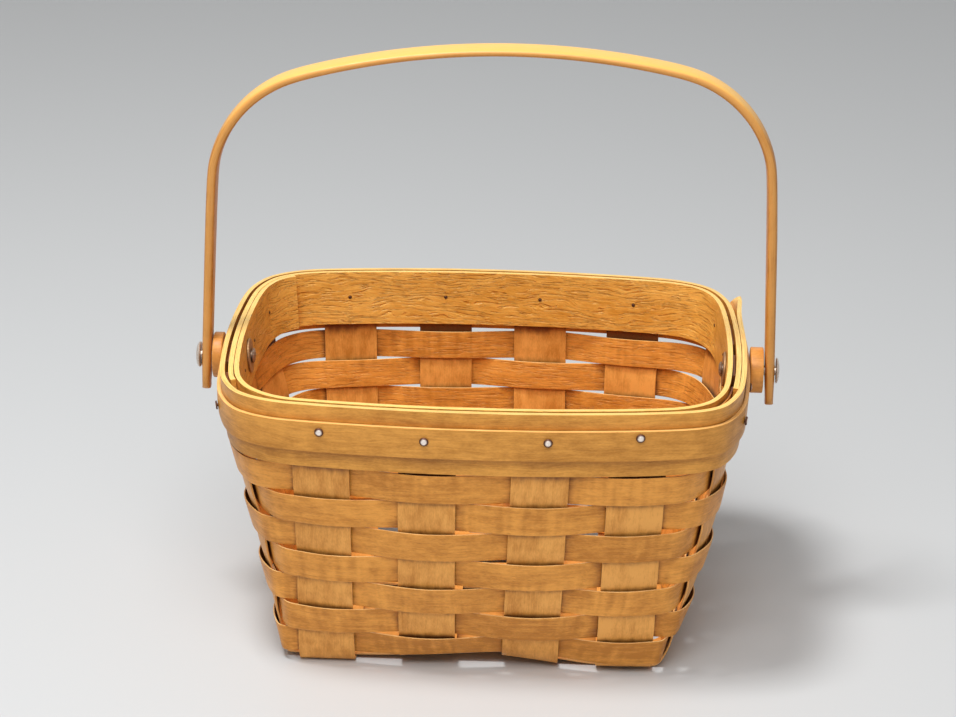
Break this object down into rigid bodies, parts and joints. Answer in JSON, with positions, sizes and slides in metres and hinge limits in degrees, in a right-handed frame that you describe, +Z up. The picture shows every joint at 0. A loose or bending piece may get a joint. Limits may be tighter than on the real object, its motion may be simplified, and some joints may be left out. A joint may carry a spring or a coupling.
{
  "type": "woven splint basket",
  "caption": "Rectangular woven splint basket with nailed wooden rim bands and a bentwood handle that swings on riveted side spacers.",
  "frame": {"origin": "bottom centre of the bounding box: on the surface the basket stands on, midway between the handle's rivets", "axes": "+X along the long rim side to the right, from one handle pivot to the other; +Y from the front to the back; +Z up out of the open mouth"},
  "size_m": [0.3035, 0.2093, 0.3092],
  "materials": {
    "stake_splint": "satin varnished maple splint, grain up the stake",
    "weaver_splint": "satin varnished maple splint, grain along the weaver",
    "rim_wood": "satin varnished maple band, paler cut edges",
    "handle_wood": "satin varnished steam-bent strip, grain along the bow",
    "spacer_wood": "satin varnished turned disc",
    "nail_steel": "worn bright domed head",
    "rivet_steel": "bright plated"
  },
  "bodies": {
    "basket": {"stake_long_1": "stake_splint", "stake_long_2": "stake_splint", "stake_long_3": "stake_splint", "stake_long_4": "stake_splint", "stake_cross_1": "stake_splint", "stake_cross_2": "stake_splint", "stake_cross_3": "stake_splint", "stake_cross_4": "stake_splint", "weaver_1": "weaver_splint", "weaver_2": "weaver_splint", "weaver_3": "weaver_splint", "weaver_4": "weaver_splint", "weaver_5": "weaver_splint", "weaver_6": "weaver_splint", "weaver_7": "weaver_splint", "outer_band": "rim_wood", "inner_band": "rim_wood", "trim_strip": "rim_wood", "nail_front_1": "nail_steel", "nail_front_2": "nail_steel", "nail_front_3": "nail_steel", "nail_front_4": "nail_steel", "nail_right_1": "nail_steel", "nail_right_2": "nail_steel", "nail_right_3": "nail_steel", "nail_right_4": "nail_steel", "nail_back_1": "nail_steel", "nail_back_2": "nail_steel", "nail_back_3": "nail_steel", "nail_back_4": "nail_steel", "nail_left_1": "nail_steel", "nail_left_2": "nail_steel", "nail_left_3": "nail_steel", "nail_left_4": "nail_steel", "spacer_right": "spacer_wood", "washer_right": "rivet_steel", "rivet_right": "rivet_steel", "spacer_left": "spacer_wood", "washer_left": "rivet_steel", "rivet_left": "rivet_steel"},
    "handle": {"handle_bow": "handle_wood"}
  },
  "joints": [
    {"name": "handle_swing", "type": "hinge", "parent": "basket", "child": "handle", "pos_m": [0, 0, 0.13845], "axis": [1, 0, 0], "range_deg": [-135, 135]}
  ]
}
